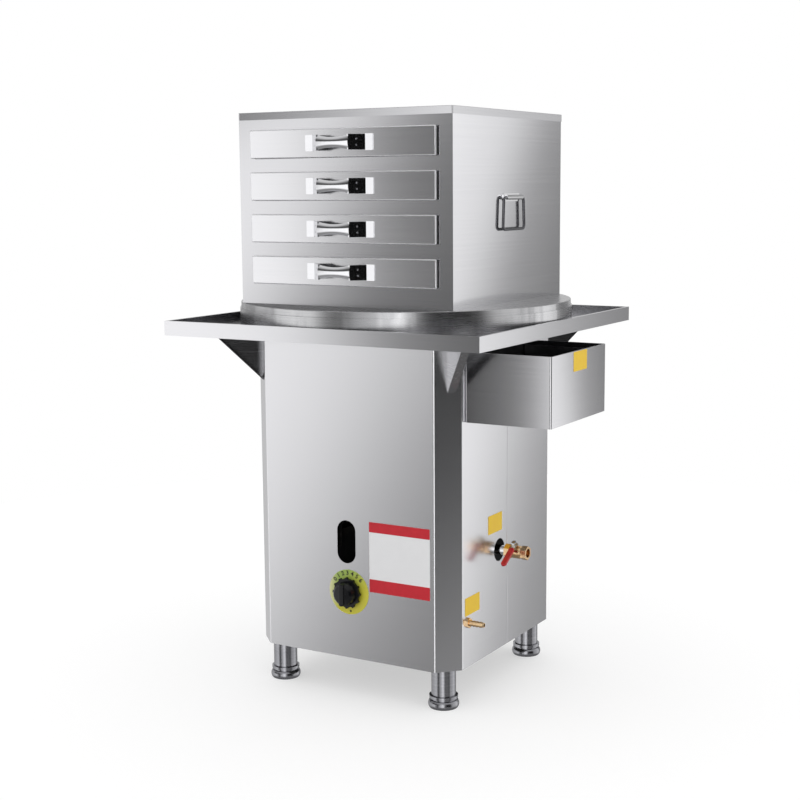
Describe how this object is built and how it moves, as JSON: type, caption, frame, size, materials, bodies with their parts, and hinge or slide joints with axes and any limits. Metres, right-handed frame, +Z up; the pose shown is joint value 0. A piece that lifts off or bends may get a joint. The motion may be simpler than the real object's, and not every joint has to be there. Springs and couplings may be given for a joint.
{
  "type": "rice noodle roll steamer",
  "caption": "Gas-fired drawer steamer: square steam box on a round cover over a tray-edged table and boxed cabinet with levelling feet, drain valve and water filling box.",
  "frame": {"origin": "on the floor, under the middle of the whole object's box; the steamer's own axis stands 32 mm to the -X side of it", "axes": "+Z up; the drawers and the knob face -Y; the water box and the drain valve are on the +X side"},
  "size_m": [0.792, 0.728, 1.2],
  "materials": {
    "brushed_sheet": "brushed stainless sheet, fine vertical and level grain",
    "inner_sheet": "plain mill-finish stainless sheet",
    "bright_steel": "bright polished steel",
    "leg_steel": "polished stainless tube and turned feet",
    "cast_iron": "rough black casting",
    "dark_steel": "heat-stained steel angle",
    "brass": "machined brass",
    "copper_tube": "drawn copper tube",
    "knob_plastic": "black moulded plastic, satin gloss",
    "dial_enamel": "yellow-green printed scale plate",
    "plated_lever": "zinc-plated steel",
    "red_sleeve": "red dipped vinyl",
    "silicone": "black silicone rubber",
    "foam": "rigid insulating foam, open cells"
  },
  "bodies": {
    "stand": {"table_top": "brushed_sheet", "table_brackets": "brushed_sheet", "front_casing": "brushed_sheet", "rear_casing": "brushed_sheet", "base_frame": "inner_sheet", "leg_tubes": "leg_steel", "leg_bolts": "bright_steel", "pot": "inner_sheet", "pot_collar": "brushed_sheet", "flame_shroud": "inner_sheet", "burner_stand": "dark_steel", "burner_head": "cast_iron", "mixing_tube": "cast_iron", "gas_injector": "brass", "gas_control": "brass", "gas_pipe": "copper_tube", "gas_inlet": "brass", "dial_plate": "dial_enamel", "drain_pipe": "bright_steel", "drain_valve": "brass", "water_box": "brushed_sheet", "feed_pipe": "bright_steel"},
    "foot_1": {"foot_1": "leg_steel"},
    "foot_2": {"foot_2": "leg_steel"},
    "foot_3": {"foot_3": "leg_steel"},
    "foot_4": {"foot_4": "leg_steel"},
    "cover": {"pot_cover": "brushed_sheet"},
    "steam_box": {"box_casing": "brushed_sheet", "box_lid": "brushed_sheet", "box_front": "brushed_sheet", "box_liner": "inner_sheet", "box_insulation": "foam", "drawer_runners": "inner_sheet", "bail_brackets": "bright_steel"},
    "drawer_1": {"drawer_1_front": "brushed_sheet", "drawer_1_pan": "inner_sheet", "drawer_1_seal": "silicone", "drawer_1_handle": "bright_steel"},
    "drawer_2": {"drawer_2_front": "brushed_sheet", "drawer_2_pan": "inner_sheet", "drawer_2_seal": "silicone", "drawer_2_handle": "bright_steel"},
    "drawer_3": {"drawer_3_front": "brushed_sheet", "drawer_3_pan": "inner_sheet", "drawer_3_seal": "silicone", "drawer_3_handle": "bright_steel"},
    "drawer_4": {"drawer_4_front": "brushed_sheet", "drawer_4_pan": "inner_sheet", "drawer_4_seal": "silicone", "drawer_4_handle": "bright_steel"},
    "bail_right": {"bail_right": "bright_steel"},
    "bail_left": {"bail_left": "bright_steel"},
    "knob_plunger": {"control_plunger": "brass"},
    "knob": {"knob": "knob_plastic", "control_spindle": "bright_steel"},
    "drain_lever": {"drain_lever": "plated_lever", "lever_sleeve": "red_sleeve", "lever_nut": "bright_steel", "drain_ball": "brass"}
  },
  "joints": [
    {"name": "foot_1_level", "type": "slide", "parent": "stand", "child": "foot_1", "axis": [0, 0, -1], "range_m": [0, 0.02]},
    {"name": "foot_2_level", "type": "slide", "parent": "stand", "child": "foot_2", "axis": [0, 0, -1], "range_m": [0, 0.02]},
    {"name": "foot_3_level", "type": "slide", "parent": "stand", "child": "foot_3", "axis": [0, 0, -1], "range_m": [0, 0.02]},
    {"name": "foot_4_level", "type": "slide", "parent": "stand", "child": "foot_4", "axis": [0, 0, -1], "range_m": [0, 0.02]},
    {"name": "cover_lift", "type": "slide", "parent": "stand", "child": "cover", "axis": [0, 0, 1], "range_m": [0, 0.15]},
    {"name": "box_lift", "type": "slide", "parent": "cover", "child": "steam_box", "axis": [0, 0, 1], "range_m": [0, 0.15]},
    {"name": "drawer_1_slide", "type": "slide", "parent": "steam_box", "child": "drawer_1", "axis": [0, -1, 0], "range_m": [0, 0.36]},
    {"name": "drawer_2_slide", "type": "slide", "parent": "steam_box", "child": "drawer_2", "axis": [0, -1, 0], "range_m": [0, 0.36]},
    {"name": "drawer_3_slide", "type": "slide", "parent": "steam_box", "child": "drawer_3", "axis": [0, -1, 0], "range_m": [0, 0.36]},
    {"name": "drawer_4_slide", "type": "slide", "parent": "steam_box", "child": "drawer_4", "axis": [0, -1, 0], "range_m": [0, 0.36]},
    {"name": "bail_right_swing", "type": "hinge", "parent": "steam_box", "child": "bail_right", "pos_m": [0.223, 0, 1.026], "axis": [0, -1, 0], "range_deg": [0, 95]},
    {"name": "bail_left_swing", "type": "hinge", "parent": "steam_box", "child": "bail_left", "pos_m": [-0.287, 0, 1.026], "axis": [0, 1, 0], "range_deg": [0, 95]},
    {"name": "knob_push", "type": "slide", "parent": "stand", "child": "knob_plunger", "axis": [0, 1, 0], "range_m": [0, 0.004], "stiffness_N_per_m": 500, "springref_m": -0.006},
    {"name": "knob_turn", "type": "hinge", "parent": "knob_plunger", "child": "knob", "pos_m": [-0.032, -0.248, 0.225], "axis": [0, -1, 0], "range_deg": [0, 180]},
    {"name": "drain_turn", "type": "hinge", "parent": "stand", "child": "drain_lever", "pos_m": [0.25, -0.037, 0.298], "axis": [0, -0.5, 0.866], "range_deg": [0, 90]}
  ]
}
